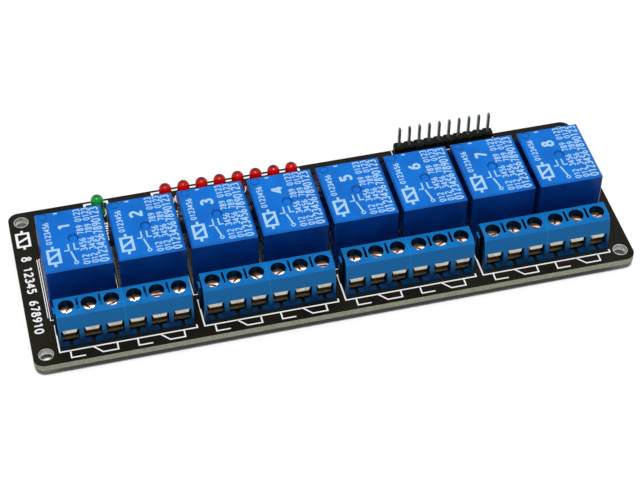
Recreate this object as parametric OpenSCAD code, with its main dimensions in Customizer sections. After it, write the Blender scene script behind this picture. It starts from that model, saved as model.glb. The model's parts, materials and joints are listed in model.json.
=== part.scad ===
// Relay module board: eight sealed relays with screw terminals on one circuit board.
// Millimetres. X runs along the row of relays, Y from the terminals to the pin header, Z up.
// The origin is the centre of the mounting holes, on the underside of the board.

/* [Circuit board] */
// Depth of the board
board_w = 49; // [48.5:0.5:60]
// Distance from the board's left end to the first relay
board_left = 5.71; // [5.6:0.01:12]
// Distance from the last relay to the board's right end
board_right = 5.22; // [5.1:0.01:12]
// Thickness of the board
board_t = 1.6; // [1:0.1:2.4]
// Radius of the board's corners
board_corner_r = 2.5; // [1:0.1:4]
// Diameter of a mounting hole
mount_d = 3.3; // [2.6:0.1:3.5]
// Distance from the board's ends to a mounting hole's centre
mount_inset_x = 3; // [2.8:0.1:3.2]
// Distance from the board's long edges to a mounting hole's centre
mount_inset_y = 3.3; // [2.8:0.1:3.5]
// Length of a pin or lead left under the board
tail_l = 2; // [1.2:0.1:3]
// Room between a pin and the edge of its hole in the board
hole_gap = 0.15; // [0.05:0.05:0.25]

/* [Relays] */
// Depth of a relay
relay_d = 19; // [18:0.1:19.5]
// Height of a relay above the board
relay_h = 15.3; // [12:0.1:20]
// Gap from one relay to the next
relay_gap = 1.01; // [0.7:0.01:1.3]
// Height of the feet under a relay's case
relay_foot_h = 0.4; // [0.2:0.1:1]
// Radius of a relay case's upright edges
relay_edge_r = 0.7; // [0.3:0.1:1.5]
// Width of the bevel round a relay's top
relay_bevel = 0.4; // [0.2:0.1:1]
// How much a relay case leans in from foot to top, for its mould
relay_draft = 0.12; // [0:0.02:0.3]
// Width of a relay pin
relay_pin_w = 1; // [0.6:0.1:1.2]
// Thickness of a relay pin
relay_pin_t = 0.6; // [0.4:0.1:1]
// Distance across a relay's paired pins
relay_pin_span = 12; // [11:0.1:12.4]
// Distance from a relay's back face to its common pin
relay_common_inset = 2.4; // [2:0.1:3]
// Distance from the common pin to the coil pins
relay_coil_step = 2; // [1.8:0.1:3]
// Distance from the common pin to the contact pins
relay_contact_step = 14.2; // [13:0.1:15]

/* [Screw terminals] */
// Distance from one pole to the next
pole_pitch = 5.08; // [5:0.01:5.08]
// Room between the blocks of one pair of relays and the next pair's
block_room = 2.54; // [2.2:0.01:3]
// Height of a terminal block
term_h = 10; // [9.4:0.1:12]
// Depth of a terminal block
term_d = 7.6; // [7.4:0.1:8.4]
// Room between the terminal blocks and the relays
term_gap = 1.7; // [1.2:0.1:2.6]
// Distance from a block's front to its screws
screw_y = 3.5; // [3.4:0.05:3.6]
// Diameter of a screw well
well_d = 3.6; // [3.5:0.05:3.7]
// Depth from a block's top to the screw heads
screw_sink = 1.8; // [1:0.1:1.9]
// Width of a wire entry at the front
entry_w = 4.1; // [4:0.05:4.2]
// Height of the sill under a wire entry
sill_h = 0.9; // [0.7:0.1:1]
// Height of the top of a wire entry
entry_top = 5.5; // [5.2:0.1:5.6]
// Thickness of a block's front wall
front_wall = 1.3; // [1.2:0.05:1.4]
// Thickness of a block's back wall
back_wall = 1; // [0.8:0.05:1.1]
// Width of the notch in a sill
notch_w = 0.9; // [0.5:0.1:1.4]
// Width of the slot between two screw wells
slot_w = 0.6; // [0.3:0.1:0.8]
// Length of the slot between two screw wells
slot_l = 3.4; // [2:0.1:3.6]
// Depth of the slot between two screw wells
slot_depth = 2.4; // [1:0.1:3]
// How far a dovetail stands out from a block's end
dove_out = 0.4; // [0.2:0.05:0.45]
// Width of a dovetail at its outer face
dove_w = 2.2; // [1.8:0.1:2.4]
// Height of a dovetail
dove_h = 7.2; // [5:0.1:7.5]
// Room between a dovetail and its groove
dove_gap = 0.05; // [0.02:0.01:0.1]

/* [Terminal metal] */
// Width of a contact
contact_w = 3.8; // [3.6:0.05:3.85]
// Thickness of a contact's sheet
contact_t = 0.8; // [0.6:0.05:0.8]
// Room between a contact and its chamber
contact_gap = 0.1; // [0.05:0.05:0.12]
// Width of a terminal's pin
term_pin_w = 1; // [0.8:0.1:1.2]
// Thickness of the wire leaf
leaf_t = 0.4; // [0.3:0.05:0.45]
// Width of the leaf at its nose
leaf_nose_w = 2.8; // [2.4:0.1:3.2]
// Width of the leaf's tongue at its tip
leaf_tip_w = 2.2; // [1.4:0.1:2.4]
// How far the leaf's nose stands forward of its fold
leaf_nose = 0.65; // [0.3:0.05:0.8]
// Diameter of a terminal screw's head
head_d = 3.3; // [3.1:0.05:3.4]
// Height of a terminal screw's head
head_h = 1.3; // [1:0.1:1.3]
// Diameter of a terminal screw's shank
shank_d = 2.4; // [2:0.1:2.5]
// Width of a screw's slot
drive_w = 0.55; // [0.4:0.05:0.8]
// Depth of a screw's slot
drive_depth = 0.6; // [0.3:0.1:0.9]
// Room between a screw's shank and its thread
thread_gap = 0.05; // [0.02:0.01:0.1]

/* [Pin header] */
// Distance from one header pin to the next
header_pitch = 2.54; // [2.54:0.01:2.6]
// Distance from the board's back edge to the header pins
header_back = 1.4; // [1.3:0.1:1.8]
// How far the header's middle stands left of the seventh relay's
header_left = 3.9; // [0:0.01:6]
// Height and depth of the header's plastic body
header_body_h = 2.5; // [2.3:0.05:2.54]
// Width of the chamfers between the header's poles
header_chamfer = 0.5; // [0.3:0.05:0.7]
// Thickness of a header pin
header_pin_t = 0.64; // [0.5:0.02:0.7]
// Length of a header pin above its body
header_pin_up = 6.1; // [4:0.1:9]
// Length of a header pin under its body
header_pin_down = 3; // [2.8:0.1:3.4]

/* [Lamps] */
// Diameter of a lamp's lens
led_d = 3; // [2.8:0.1:3.1]
// Diameter of the flange under a lens
led_flange_d = 3.8; // [3.5:0.1:4]
// Height of the flange
led_flange_h = 1; // [0.6:0.1:1.2]
// Height of a lens with its flange
led_h = 5.3; // [4.5:0.1:6]
// Height of a lens above the board
led_stand = 0.3; // [0.2:0.1:2]
// Distance from the board's back edge to the lamps
led_back = 4.3; // [4.2:0.1:5]
// Distance from one red lamp to the next
led_pitch = 4.445; // [4.3:0.005:4.6]
// How far the first red lamp and the green one stand left of the gap between two relays
lamp_left = 0.27; // [0:0.01:0.5]
// Thickness of a lamp's lead
led_lead_t = 0.5; // [0.4:0.05:0.6]
// Distance between a lamp's leads
led_lead_gap = 2.54; // [2.4:0.02:2.6]

/* [Driver parts] */
// Length of a driver transistor's body
sot_l = 2.9; // [2.7:0.1:3]
// Width of a driver transistor's body
sot_w = 1.3; // [1.2:0.1:1.4]
// Height of a driver transistor's body above its seat
sot_h = 1; // [0.9:0.05:1.1]
// Span across a driver transistor's leads
sot_span = 2.4; // [2.2:0.1:2.6]
// Thickness of a driver transistor's leads
sot_lead_t = 0.15; // [0.1:0.01:0.2]
// Width of a driver transistor's leads
sot_lead_w = 0.4; // [0.3:0.05:0.5]
// Length of a diode
diode_l = 3.5; // [3.3:0.1:3.7]
// Diameter of a diode's end caps
diode_d = 1.5; // [1.3:0.05:1.6]
// Length of a diode's end caps
diode_cap_l = 0.45; // [0.3:0.05:0.6]
// Thickness of a diode's end caps
diode_cap_t = 0.05; // [0.03:0.01:0.1]
// Length of a chip resistor
chip_l = 2; // [1.8:0.1:2.2]
// Width of a chip resistor
chip_w = 1.25; // [1.1:0.05:1.4]
// Height of a chip resistor
chip_h = 0.5; // [0.4:0.05:0.6]
// Length of a chip resistor's end caps
chip_end_l = 0.4; // [0.3:0.05:0.5]
// Thickness of a chip resistor's end caps
chip_end_t = 0.04; // [0.02:0.01:0.08]
// Distance from the relays to the row of diodes
diode_row = 1.7; // [1.5:0.1:2]
// Distance from the relays to the row of driver transistors
sot_row = 5.2; // [5:0.1:5.6]
// Distance from the relays to the row of lamp resistors
chip_row = 8.4; // [8:0.1:8.8]
// Distance from the row of lamp resistors to the lamps
lamp_row = 3.9; // [3.5:0.1:5]

/* [Solder] */
// Width of the solder round a pin, past the edge of its hole
solder_ring = 0.35; // [0.25:0.05:0.4]
// Height of a solder joint under the board
solder_h = 1.1; // [0.6:0.1:1.1]

/* [Hidden] */

// counts, and the relays that the header and the lamps stand behind
relay_count = 8;
header_relay = 7;
green_led_relay = 1;
red_led_relay = 2;
poles = 3;
header_poles = 10;
red_leds = 8;

// how far a cutting shape reaches past what it cuts
over = 1;

// two blocks of terminals stand in front of each pair of relays, so they set the relays' pitch
relay_pitch = (2 * poles * pole_pitch + block_room) / 2;
relay_w = relay_pitch - relay_gap;

// the board spans the row of relays, which stands a little nearer its right end
board_l = board_left + relay_count * relay_pitch - relay_gap + board_right;
relay_row_shift = (board_left - board_right) / 2;

// the board's back edge, from which the rows are set out, and its top face, which carries them
back_y = board_w / 2;
top_z = board_t;
mount_x = board_l / 2 - mount_inset_x;
mount_y = board_w / 2 - mount_inset_y;

// the rows from back to front: lamps, driver parts, relays and terminal blocks
led_y = back_y - led_back;
chip_y = led_y - lamp_row;
relay_y1 = chip_y - chip_row;
sot_y = relay_y1 + sot_row;
diode_y = relay_y1 + diode_row;
relay_mid_y = relay_y1 - relay_d / 2;
term_y0 = relay_y1 - relay_d - term_gap - term_d;

// relays
relay_foot_w = 1.2;
relay_rim = 1;
relay_pin_size = [relay_pin_w, relay_pin_t];
function relay_x(k) = (k - (relay_count + 1) / 2) * relay_pitch + relay_row_shift;
common_y = relay_y1 - relay_common_inset;
coil_y = common_y - relay_coil_step;
contact_row_y = common_y - relay_contact_step;
// the mould's marks in a relay's top: an ejector ring by a corner and the gate's dimple
ejector_inset = [1.9, 1.6];
ejector_x = -relay_w / 2 + ejector_inset[0];
ejector_y = relay_d / 2 - ejector_inset[1];
ejector_r = 1;
ejector_groove = 0.15;
mark_depth = 0.12;
gate_r = 1.2;
gate_depth = 0.35;

// terminal blocks: two to each pair of relays, and one to each relay
block_w = poles * pole_pitch;
block_count = relay_count;
function pair_x(k) = (relay_x(2 * ceil(k / 2) - 1) + relay_x(2 * ceil(k / 2))) / 2;
function block_x(k) = pair_x(k) - (k % 2) * block_w;
function pole_x(i) = (i + 0.5) * pole_pitch;
// a block's section, from its front foot round to its back foot
front_lean = 0.25;
front_fall = 0.9;
shoulder_z = term_h - front_fall;
shoulder_y = 1.1;
top_front_y = 2.1;
top_back_y = 6.05;
back_fall = 1.9;
back_shoulder_z = term_h - back_fall;
// the bevel at a wire entry's lower corners
entry_lip = 0.5;
// the wire leaf lies on the contact's top plate and folds down in front of it
leaf_fold_y = front_wall + contact_gap / 2;
leaf_clear = 0.1;
head_top = term_h - screw_sink;
head_foot = head_top - head_h;
leaf_top = head_foot - leaf_clear;
plate_top = leaf_top - leaf_t;
chamber_top = leaf_top + contact_gap;
chamber_w = contact_w + 2 * contact_gap;
contact_y0 = leaf_fold_y + leaf_t;
contact_y1 = term_d - back_wall - contact_gap;
contact_z0 = sill_h;
nose_drop = 1.5;
tongue_drop = 2.9;
tongue_past = 1.1;
nose_z = entry_top - nose_drop;
tongue_z = entry_top - tongue_drop;
tongue_y = screw_y + tongue_past;
fold_rise = 0.1;
taper_drop = 0.3;
screw_edge = 0.15;
shank_edge = 0.25;
shank_end = tongue_z + leaf_t + leaf_clear;
thread_d = shank_d + 2 * thread_gap;
term_pin_size = [term_pin_w, contact_t];
slot_back = 0.2;
slot_y = screw_y + slot_back;
dove_taper = 0.6;
dove_inset = 0.2;
dove_root_w = dove_w - dove_taper;
dove_y = term_d - back_wall - dove_w / 2 - dove_inset;
// how deep a sliver joins two shapes that would only touch
weld = 0.01;

// pin header
header_x = relay_x(header_relay) - header_left;
header_y = back_y - header_back;
header_x0 = header_x - (header_poles - 1) / 2 * header_pitch;
header_pin_size = [header_pin_t, header_pin_t];
pin_tip_h = 0.6;
pin_tip_t = 0.3;

// lamps
led_pin_size = [led_lead_t, led_lead_t];
led_z = top_z + led_stand;
green_led_x = relay_x(green_led_relay) + relay_pitch / 2 - lamp_left;
red_led_x = relay_x(red_led_relay) + relay_pitch / 2 - lamp_left;
led_xs = concat([green_led_x], [for (i = [0:red_leds - 1]) red_led_x + i * led_pitch]);
// the flat on the flange's cathode side
led_flat_room = 0.1;
led_flat = led_d / 2 + led_flat_room;

// driver parts: one diode, transistor and input resistor to a relay, and one resistor to a lamp
sot_gap = 0.05;
sot_pitch = 1.9;
sot_lean = 0.1;
sot_foot = 0.3;
sot_mid = sot_gap + sot_h * 0.45;
diode_glass_d = diode_d - 2 * diode_cap_t;
input_chip_x = 4.6;

// a pin's hole in the board clears its corners
function hole_r(size) = norm(size) / 2 + hole_gap;

// a solder joint's hollow side: its rim, its waist and its tip
solder_rim = [0.1, 0.12];
solder_waist = 0.08;
solder_skin = 0.08;

// where each kind of pin goes through the board
relay_pin_at = [
    for (k = [1:relay_count])
        for (p = [
            [0, common_y],
            [-relay_pin_span / 2, coil_y], [relay_pin_span / 2, coil_y],
            [-relay_pin_span / 2, contact_row_y], [relay_pin_span / 2, contact_row_y]
        ]) [relay_x(k) + p[0], p[1]]
];
term_pin_at = [
    for (k = [1:block_count]) for (i = [0:poles - 1]) [block_x(k) + pole_x(i), term_y0 + screw_y]
];
header_pin_at = [for (i = [0:header_poles - 1]) [header_x0 + i * header_pitch, header_y]];
led_pin_at = [for (x = led_xs) for (s = [-1, 1]) [x + s * led_lead_gap / 2, led_y]];

// ---------- shared shapes ----------

// A plate with round corners, centred on X and Y, from z = 0 up.
module round_plate(l, w, h, r) {
    linear_extrude(h) {
        square([l - 2 * r, w], center = true);
        square([l, w - 2 * r], center = true);
        for (x = [-1, 1], y = [-1, 1])
            translate([x * (l / 2 - r), y * (w / 2 - r)])
                circle(r, $fn = 48);
    }
}

// A section given in Y and Z, drawn out along X from x = 0 to w.
module along_x(w) {
    rotate([90, 0, 90])
        linear_extrude(w)
            children();
}

// A section given in X and Z, drawn out along Y from y = 0 to d.
module along_y(d) {
    translate([0, d, 0])
        rotate([90, 0, 0])
            linear_extrude(d)
                children();
}

// Holes through the board for one kind of pin.
module pin_holes(places, size) {
    for (p = places)
        translate([p[0], p[1], -over])
            cylinder(r = hole_r(size), h = board_t + 2 * over, $fn = 24);
}

// Solder joints for one kind of pin: each climbs the pin in a hollow curve and fills the hole.
module solder(places, size) {
    hole = hole_r(size);
    foot = hole + solder_ring;
    tip = norm(size) / 2 + solder_skin;
    for (p = places)
        translate([p[0], p[1], 0])
            difference() {
                union() {
                    rotate_extrude($fn = 32)
                        polygon([
                            [0, 0], [foot, 0], [foot - solder_rim[0], -solder_rim[1]],
                            [(foot + tip) / 2 - solder_waist, -solder_h * 0.45],
                            [tip, -solder_h], [0, -solder_h]
                        ]);
                    cylinder(r = hole, h = board_t, $fn = 24);
                }
                translate([-size[0] / 2, -size[1] / 2, -solder_h - over])
                    cube([size[0], size[1], board_t + solder_h + 2 * over]);
            }
}

// ---------- circuit board ----------

module circuit_board() {
    color("#1e1c16")
        difference() {
            round_plate(board_l, board_w, board_t, board_corner_r);
            for (x = [-1, 1], y = [-1, 1])
                translate([x * mount_x, y * mount_y, -over])
                    cylinder(d = mount_d, h = board_t + 2 * over, $fn = 64);
            pin_holes(relay_pin_at, relay_pin_size);
            pin_holes(term_pin_at, term_pin_size);
            pin_holes(header_pin_at, header_pin_size);
            pin_holes(led_pin_at, led_pin_size);
        }
}

// ---------- relays ----------

// One face of the case seen from the side: it leans in a little and is bevelled at the top.
module relay_side(w) {
    top = w / 2 - relay_draft;
    polygon([
        [-w / 2, relay_foot_h], [w / 2, relay_foot_h],
        [top, relay_h - relay_bevel], [top - relay_bevel, relay_h],
        [-top + relay_bevel, relay_h], [-top, relay_h - relay_bevel]
    ]);
}

// The sealed case: three outlines crossed, a recessed base on corner feet, and the mould's marks on top.
module relay_case() {
    difference() {
        intersection() {
            round_plate(relay_w, relay_d, relay_h, relay_edge_r);
            translate([-relay_w / 2, 0, 0])
                along_x(relay_w)
                    relay_side(relay_d);
            translate([0, -relay_d / 2, 0])
                along_y(relay_d)
                    relay_side(relay_w);
        }
        translate([0, 0, relay_foot_h - over])
            round_plate(
                relay_w - 2 * relay_rim, relay_d - 2 * relay_rim,
                over + relay_foot_h / 2, relay_edge_r / 2
            );
        translate([ejector_x, ejector_y, relay_h - mark_depth])
            difference() {
                cylinder(r = ejector_r, h = over, $fn = 32);
                translate([0, 0, -over])
                    cylinder(r = ejector_r - ejector_groove, h = 3 * over, $fn = 32);
            }
        translate([0, 0, relay_h - gate_depth])
            cylinder(r1 = gate_r * 0.7, r2 = gate_r, h = gate_depth, $fn = 32);
    }
    for (x = [-1, 1], y = [-1, 1])
        translate([
            x * (relay_w - relay_foot_w) / 2 - relay_foot_w / 2 - x * relay_edge_r,
            y * (relay_d - relay_foot_w) / 2 - relay_foot_w / 2 - y * relay_edge_r,
            0
        ])
            cube([relay_foot_w, relay_foot_w, relay_foot_h * 1.5]);
}

module relay(k) {
    color("#1272dc")
        translate([relay_x(k), relay_mid_y, top_z])
            relay_case();
}

// Five blades to a relay, from the base down through the board.
module relay_pins() {
    top = relay_foot_h * 1.5;
    color("#c9c6bd")
        for (p = relay_pin_at)
            translate([p[0] - relay_pin_w / 2, p[1] - relay_pin_t / 2, -tail_l])
                cube([relay_pin_w, relay_pin_t, tail_l + top_z + top]);
}

// ---------- screw terminals ----------

// A block's section, in Y and Z: plain foot, leaning face, shoulders, and a flat top.
module block_section() {
    polygon([
        [0, 0], [front_lean, entry_top], [shoulder_y, shoulder_z], [top_front_y, term_h],
        [top_back_y, term_h], [term_d, back_shoulder_z], [term_d, 0]
    ]);
}

// The dovetail's plan. It is wider at its outer face, which points along -X.
module dove_plan(gap) {
    translate([0, dove_y])
        polygon([
            [weld, -dove_root_w / 2 - gap], [-dove_out - gap, -dove_w / 2 - gap],
            [-dove_out - gap, dove_w / 2 + gap], [weld, dove_root_w / 2 + gap]
        ]);
}

// The room for one pole: chamber, wire entry, notch in the sill and screw well.
module pole_room() {
    mouth = entry_w / 2;
    throat = mouth - entry_lip;
    translate([-chamber_w / 2, front_wall, -over])
        cube([chamber_w, term_d - back_wall - front_wall, chamber_top + over]);
    translate([0, -over, 0])
        along_y(front_wall + 2 * over)
            polygon([
                [-mouth, entry_top], [mouth, entry_top], [mouth, sill_h + entry_lip], [throat, sill_h],
                [-throat, sill_h], [-mouth, sill_h + entry_lip]
            ]);
    translate([-notch_w / 2, -over, -over])
        cube([notch_w, front_wall + 2 * over, sill_h + 2 * over]);
    translate([0, screw_y, chamber_top - over])
        cylinder(d = well_d, h = term_h, $fn = 48);
}

module terminal_housing(k) {
    color("#1668b4")
        translate([block_x(k), term_y0, top_z])
            difference() {
                union() {
                    along_x(block_w)
                        block_section();
                    linear_extrude(dove_h)
                        dove_plan(0);
                }
                for (i = [0:poles - 1])
                    translate([pole_x(i), 0, 0])
                        pole_room();
                for (i = [1:poles - 1])
                    translate([i * pole_pitch - slot_w / 2, slot_y - slot_l / 2, term_h - slot_depth])
                        cube([slot_w, slot_l, slot_depth + over]);
                translate([block_w, 0, -over])
                    linear_extrude(dove_h + over + dove_gap)
                        dove_plan(dove_gap);
            }
}

// A pole's contact: one strip folded round the wire, tapped for the screw, with its pin below.
module pole_contact() {
    translate([-contact_w / 2, 0, 0])
        difference() {
            along_x(contact_w)
                polygon([
                    [contact_y0, contact_z0], [contact_y1, contact_z0], [contact_y1, plate_top],
                    [contact_y0, plate_top], [contact_y0, plate_top - contact_t],
                    [contact_y1 - contact_t, plate_top - contact_t],
                    [contact_y1 - contact_t, contact_z0 + contact_t], [contact_y0, contact_z0 + contact_t]
                ]);
            translate([contact_w / 2, screw_y, plate_top - contact_t - over])
                cylinder(d = thread_d, h = contact_t + 2 * over, $fn = 32);
        }
    translate([-term_pin_w / 2, screw_y - contact_t / 2, -board_t - tail_l])
        cube([term_pin_w, contact_t, board_t + tail_l + contact_z0 + contact_t / 2]);
}

module terminal_contacts(k) {
    color("#d8d2bf")
        translate([block_x(k), term_y0, top_z])
            for (i = [0:poles - 1])
                translate([pole_x(i), 0, 0])
                    pole_contact();
}

// The wire leaf: hooked over the top plate, folded down, then rolled back under the screw.
module wire_leaf() {
    difference() {
        intersection() {
            translate([-contact_w / 2, 0, 0])
                along_x(contact_w)
                    leaf_section();
            translate([0, -over, 0])
                along_y(term_d + 2 * over)
                    leaf_front();
        }
        translate([0, screw_y, leaf_top - leaf_t - over])
            cylinder(d = thread_d, h = leaf_t + 2 * over, $fn = 32);
    }
}

// The leaf's bent section: its nose is an arc between the sloping face and the tongue.
module leaf_section() {
    face_y = leaf_fold_y;
    nose_y = leaf_fold_y - leaf_nose;
    fold_z = entry_top + fold_rise;
    roll = (nose_z - tongue_z) * 1.3;
    polygon([
        [face_y, leaf_top], [contact_y1 - contact_t, leaf_top], [contact_y1 - contact_t, leaf_top - leaf_t],
        [face_y + leaf_t, leaf_top - leaf_t], [face_y + leaf_t, fold_z], [nose_y + leaf_t, nose_z],
        [nose_y + leaf_t + roll * 0.35, tongue_z + leaf_t + roll * 0.05],
        [nose_y + leaf_t + roll * 0.85, tongue_z + leaf_t],
        [tongue_y, tongue_z + leaf_t], [tongue_y, tongue_z],
        [nose_y + roll, tongue_z], [nose_y + roll * 0.33, tongue_z + roll * 0.27],
        [nose_y, nose_z], [face_y, fold_z]
    ]);
}

// The leaf's outline from the front: full width down to the fold, then a taper to the tongue.
module leaf_front() {
    w = contact_w / 2;
    n = leaf_nose_w / 2;
    t = leaf_tip_w / 2;
    polygon([
        [-w, leaf_top], [w, leaf_top], [w, entry_top - taper_drop], [n, nose_z],
        [t, tongue_z], [-t, tongue_z], [-n, nose_z], [-w, entry_top - taper_drop]
    ]);
}

module wire_leaves() {
    color("#e6dcbe")
        for (k = [1:block_count], i = [0:poles - 1])
            translate([block_x(k) + pole_x(i), term_y0, top_z])
                wire_leaf();
}

// A slotted cheese-head screw, left at the angle where it was last turned.
module terminal_screw(angle) {
    difference() {
        rotate_extrude($fn = 40)
            polygon([
                [0, shank_end], [shank_d / 2 - shank_edge, shank_end], [shank_d / 2, shank_end + shank_edge],
                [shank_d / 2, head_foot], [head_d / 2, head_foot], [head_d / 2, head_top - screw_edge],
                [head_d / 2 - screw_edge, head_top], [0, head_top]
            ]);
        rotate([0, 0, angle])
            translate([-head_d, -drive_w / 2, head_top - drive_depth])
                cube([2 * head_d, drive_w, drive_depth + over]);
    }
}

module terminal_screws() {
    color("#b9a183")
        for (k = [1:block_count], i = [0:poles - 1])
            translate([block_x(k) + pole_x(i), term_y0 + screw_y, top_z])
                terminal_screw((k * 53 + i * 71) % 180);
}

// ---------- pin header ----------

// One strip of poles, notched between them, with a square hole for each pin.
module header_body() {
    w = header_pitch / 2;
    d = header_body_h / 2;
    c = header_chamfer;
    color("#15140f")
        translate([header_x0, header_y, top_z])
            difference() {
                linear_extrude(header_body_h)
                    for (i = [0:header_poles - 1])
                        translate([i * header_pitch, 0])
                            polygon([
                                [-w, -d + c], [-w + c, -d], [w - c, -d], [w, -d + c],
                                [w, d - c], [w - c, d], [-w + c, d], [-w, d - c]
                            ]);
                for (i = [0:header_poles - 1])
                    translate([i * header_pitch - header_pin_t / 2, -header_pin_t / 2, -over])
                        cube([header_pin_t, header_pin_t, header_body_h + 2 * over]);
            }
}

// A square pin, pointed at both ends: the same outline crossed from two sides.
module header_pin() {
    w = header_pin_t / 2;
    p = pin_tip_t / 2;
    z0 = -header_pin_down;
    z1 = header_body_h + header_pin_up;
    outline = [
        [-p, z0], [p, z0], [w, z0 + pin_tip_h], [w, z1 - pin_tip_h],
        [p, z1], [-p, z1], [-w, z1 - pin_tip_h], [-w, z0 + pin_tip_h]
    ];
    intersection() {
        translate([-w, 0, 0])
            along_x(header_pin_t)
                polygon(outline);
        translate([0, -w, 0])
            along_y(header_pin_t)
                polygon(outline);
    }
}

module header_pins() {
    color("#9aa39a")
        for (p = header_pin_at)
            translate([p[0], p[1], top_z])
                header_pin();
}

// ---------- lamps ----------

// A moulded lens: round dome on a straight barrel, and a flange with a flat on one side.
module led_lens() {
    r = led_d / 2;
    difference() {
        union() {
            rotate_extrude($fn = 48) {
                square([led_flange_d / 2, led_flange_h]);
                square([r, led_h - r]);
                translate([0, led_h - r])
                    intersection() {
                        circle(r, $fn = 48);
                        square(r);
                    }
            }
        }
        translate([led_flat, -led_flange_d, -over])
            cube([led_flange_d, 2 * led_flange_d, led_flange_h + over]);
    }
}

module green_led() {
    color("#2f9a3c")
        translate([green_led_x, led_y, led_z])
            led_lens();
}

module red_led(k) {
    color("#c40d10")
        translate([led_xs[k], led_y, led_z])
            led_lens();
}

// Two leads to a lamp, from the lens down through the board.
module led_leads() {
    color("#c9c6bd")
        for (p = led_pin_at)
            translate([p[0] - led_lead_t / 2, p[1] - led_lead_t / 2, -tail_l])
                cube([led_lead_t, led_lead_t, tail_l + led_z]);
}

// ---------- driver parts ----------

module at_relays(y) {
    for (k = [1:relay_count])
        translate([relay_x(k), y, top_z])
            children();
}

// A moulded body whose sides lean in above and below the leads.
module transistor_bodies() {
    color("#24231f")
        at_relays(sot_y)
            intersection() {
                translate([-sot_l / 2, 0, 0])
                    along_x(sot_l)
                        sot_side(sot_w);
                translate([0, -sot_w / 2, 0])
                    along_y(sot_w)
                        sot_side(sot_l);
            }
}

module sot_side(w) {
    foot = w / 2 - sot_lean;
    polygon([
        [-foot, sot_gap], [foot, sot_gap], [w / 2, sot_mid],
        [foot, sot_gap + sot_h], [-foot, sot_gap + sot_h], [-w / 2, sot_mid]
    ]);
}

// Three gull-wing leads, two on one side and one on the other.
module transistor_leads() {
    low = sot_mid - sot_lead_t / 2;
    high = sot_mid + sot_lead_t / 2;
    run = (sot_span - sot_w) / 2;
    color("#c9c6bd")
        at_relays(sot_y)
            for (p = [[-sot_pitch / 2, 0], [sot_pitch / 2, 0], [0, 180]])
                rotate([0, 0, p[1]])
                    translate([p[0] - sot_lead_w / 2, -sot_span / 2, 0])
                        along_x(sot_lead_w)
                            polygon([
                                [0, 0], [sot_foot, 0], [sot_foot, low], [run, low],
                                [run, high], [sot_foot - sot_lead_t, high],
                                [sot_foot - sot_lead_t, sot_lead_t], [0, sot_lead_t]
                            ]);
}

// Glass diodes lie across the relay's coil, with a metal cup on each end.
module diode_bodies() {
    color("#b5532e")
        at_relays(diode_y)
            translate([-diode_l / 2 + diode_cap_t, 0, diode_d / 2])
                rotate([0, 90, 0])
                    cylinder(d = diode_glass_d, h = diode_l - 2 * diode_cap_t, $fn = 32);
}

module diode_caps() {
    color("#c9c6bd")
        at_relays(diode_y)
            for (s = [0, 180])
                rotate([0, 0, s])
                    translate([-diode_l / 2, 0, diode_d / 2])
                        rotate([0, 90, 0])
                            difference() {
                                cylinder(d = diode_d, h = diode_cap_l, $fn = 32);
                                translate([0, 0, diode_cap_t])
                                    cylinder(d = diode_glass_d, h = diode_cap_l, $fn = 32);
                            }
}

// Where the chip resistors stand: one beside each transistor, and one in front of each lamp.
resistor_at = concat(
    [for (k = [1:relay_count]) [relay_x(k) + input_chip_x, sot_y]],
    [for (x = led_xs) [x, chip_y]]
);

module resistor_bodies() {
    l = chip_l - 2 * chip_end_t;
    color("#26231f")
        for (p = resistor_at)
            translate([p[0] - chip_w / 2, p[1] - l / 2, top_z + chip_end_t])
                cube([chip_w, l, chip_h - 2 * chip_end_t]);
}

// A metal cap folded over each end of the body.
module resistor_ends() {
    color("#d0cec6")
        for (p = resistor_at, s = [0, 180])
            translate([p[0], p[1], top_z])
                rotate([0, 0, s])
                    translate([-chip_w / 2, -chip_l / 2, 0])
                        along_x(chip_w)
                            difference() {
                                square([chip_end_l, chip_h]);
                                translate([chip_end_t, chip_end_t])
                                    square([chip_end_l, chip_h - 2 * chip_end_t]);
                            }
}

// ---------- solder ----------

module solder_joints() {
    color("#b8bab8") {
        solder(relay_pin_at, relay_pin_size);
        solder(term_pin_at, term_pin_size);
        solder(header_pin_at, header_pin_size);
        solder(led_pin_at, led_pin_size);
    }
}

circuit_board();
relay(1);  // relay_1
relay(2);  // relay_2
relay(3);  // relay_3
relay(4);  // relay_4
relay(5);  // relay_5
relay(6);  // relay_6
relay(7);  // relay_7
relay(8);  // relay_8
relay_pins();
terminal_housing(1);  // terminal_housing_1
terminal_housing(2);  // terminal_housing_2
terminal_housing(3);  // terminal_housing_3
terminal_housing(4);  // terminal_housing_4
terminal_housing(5);  // terminal_housing_5
terminal_housing(6);  // terminal_housing_6
terminal_housing(7);  // terminal_housing_7
terminal_housing(8);  // terminal_housing_8
terminal_contacts(1);  // terminal_contacts_1
terminal_contacts(2);  // terminal_contacts_2
terminal_contacts(3);  // terminal_contacts_3
terminal_contacts(4);  // terminal_contacts_4
terminal_contacts(5);  // terminal_contacts_5
terminal_contacts(6);  // terminal_contacts_6
terminal_contacts(7);  // terminal_contacts_7
terminal_contacts(8);  // terminal_contacts_8
wire_leaves();
terminal_screws();
header_body();
header_pins();
green_led();
red_led(1);  // red_led_1
red_led(2);  // red_led_2
red_led(3);  // red_led_3
red_led(4);  // red_led_4
red_led(5);  // red_led_5
red_led(6);  // red_led_6
red_led(7);  // red_led_7
red_led(8);  // red_led_8
led_leads();
transistor_bodies();
transistor_leads();
diode_bodies();
diode_caps();
resistor_bodies();
resistor_ends();
solder_joints();
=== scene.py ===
import json
import math

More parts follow.
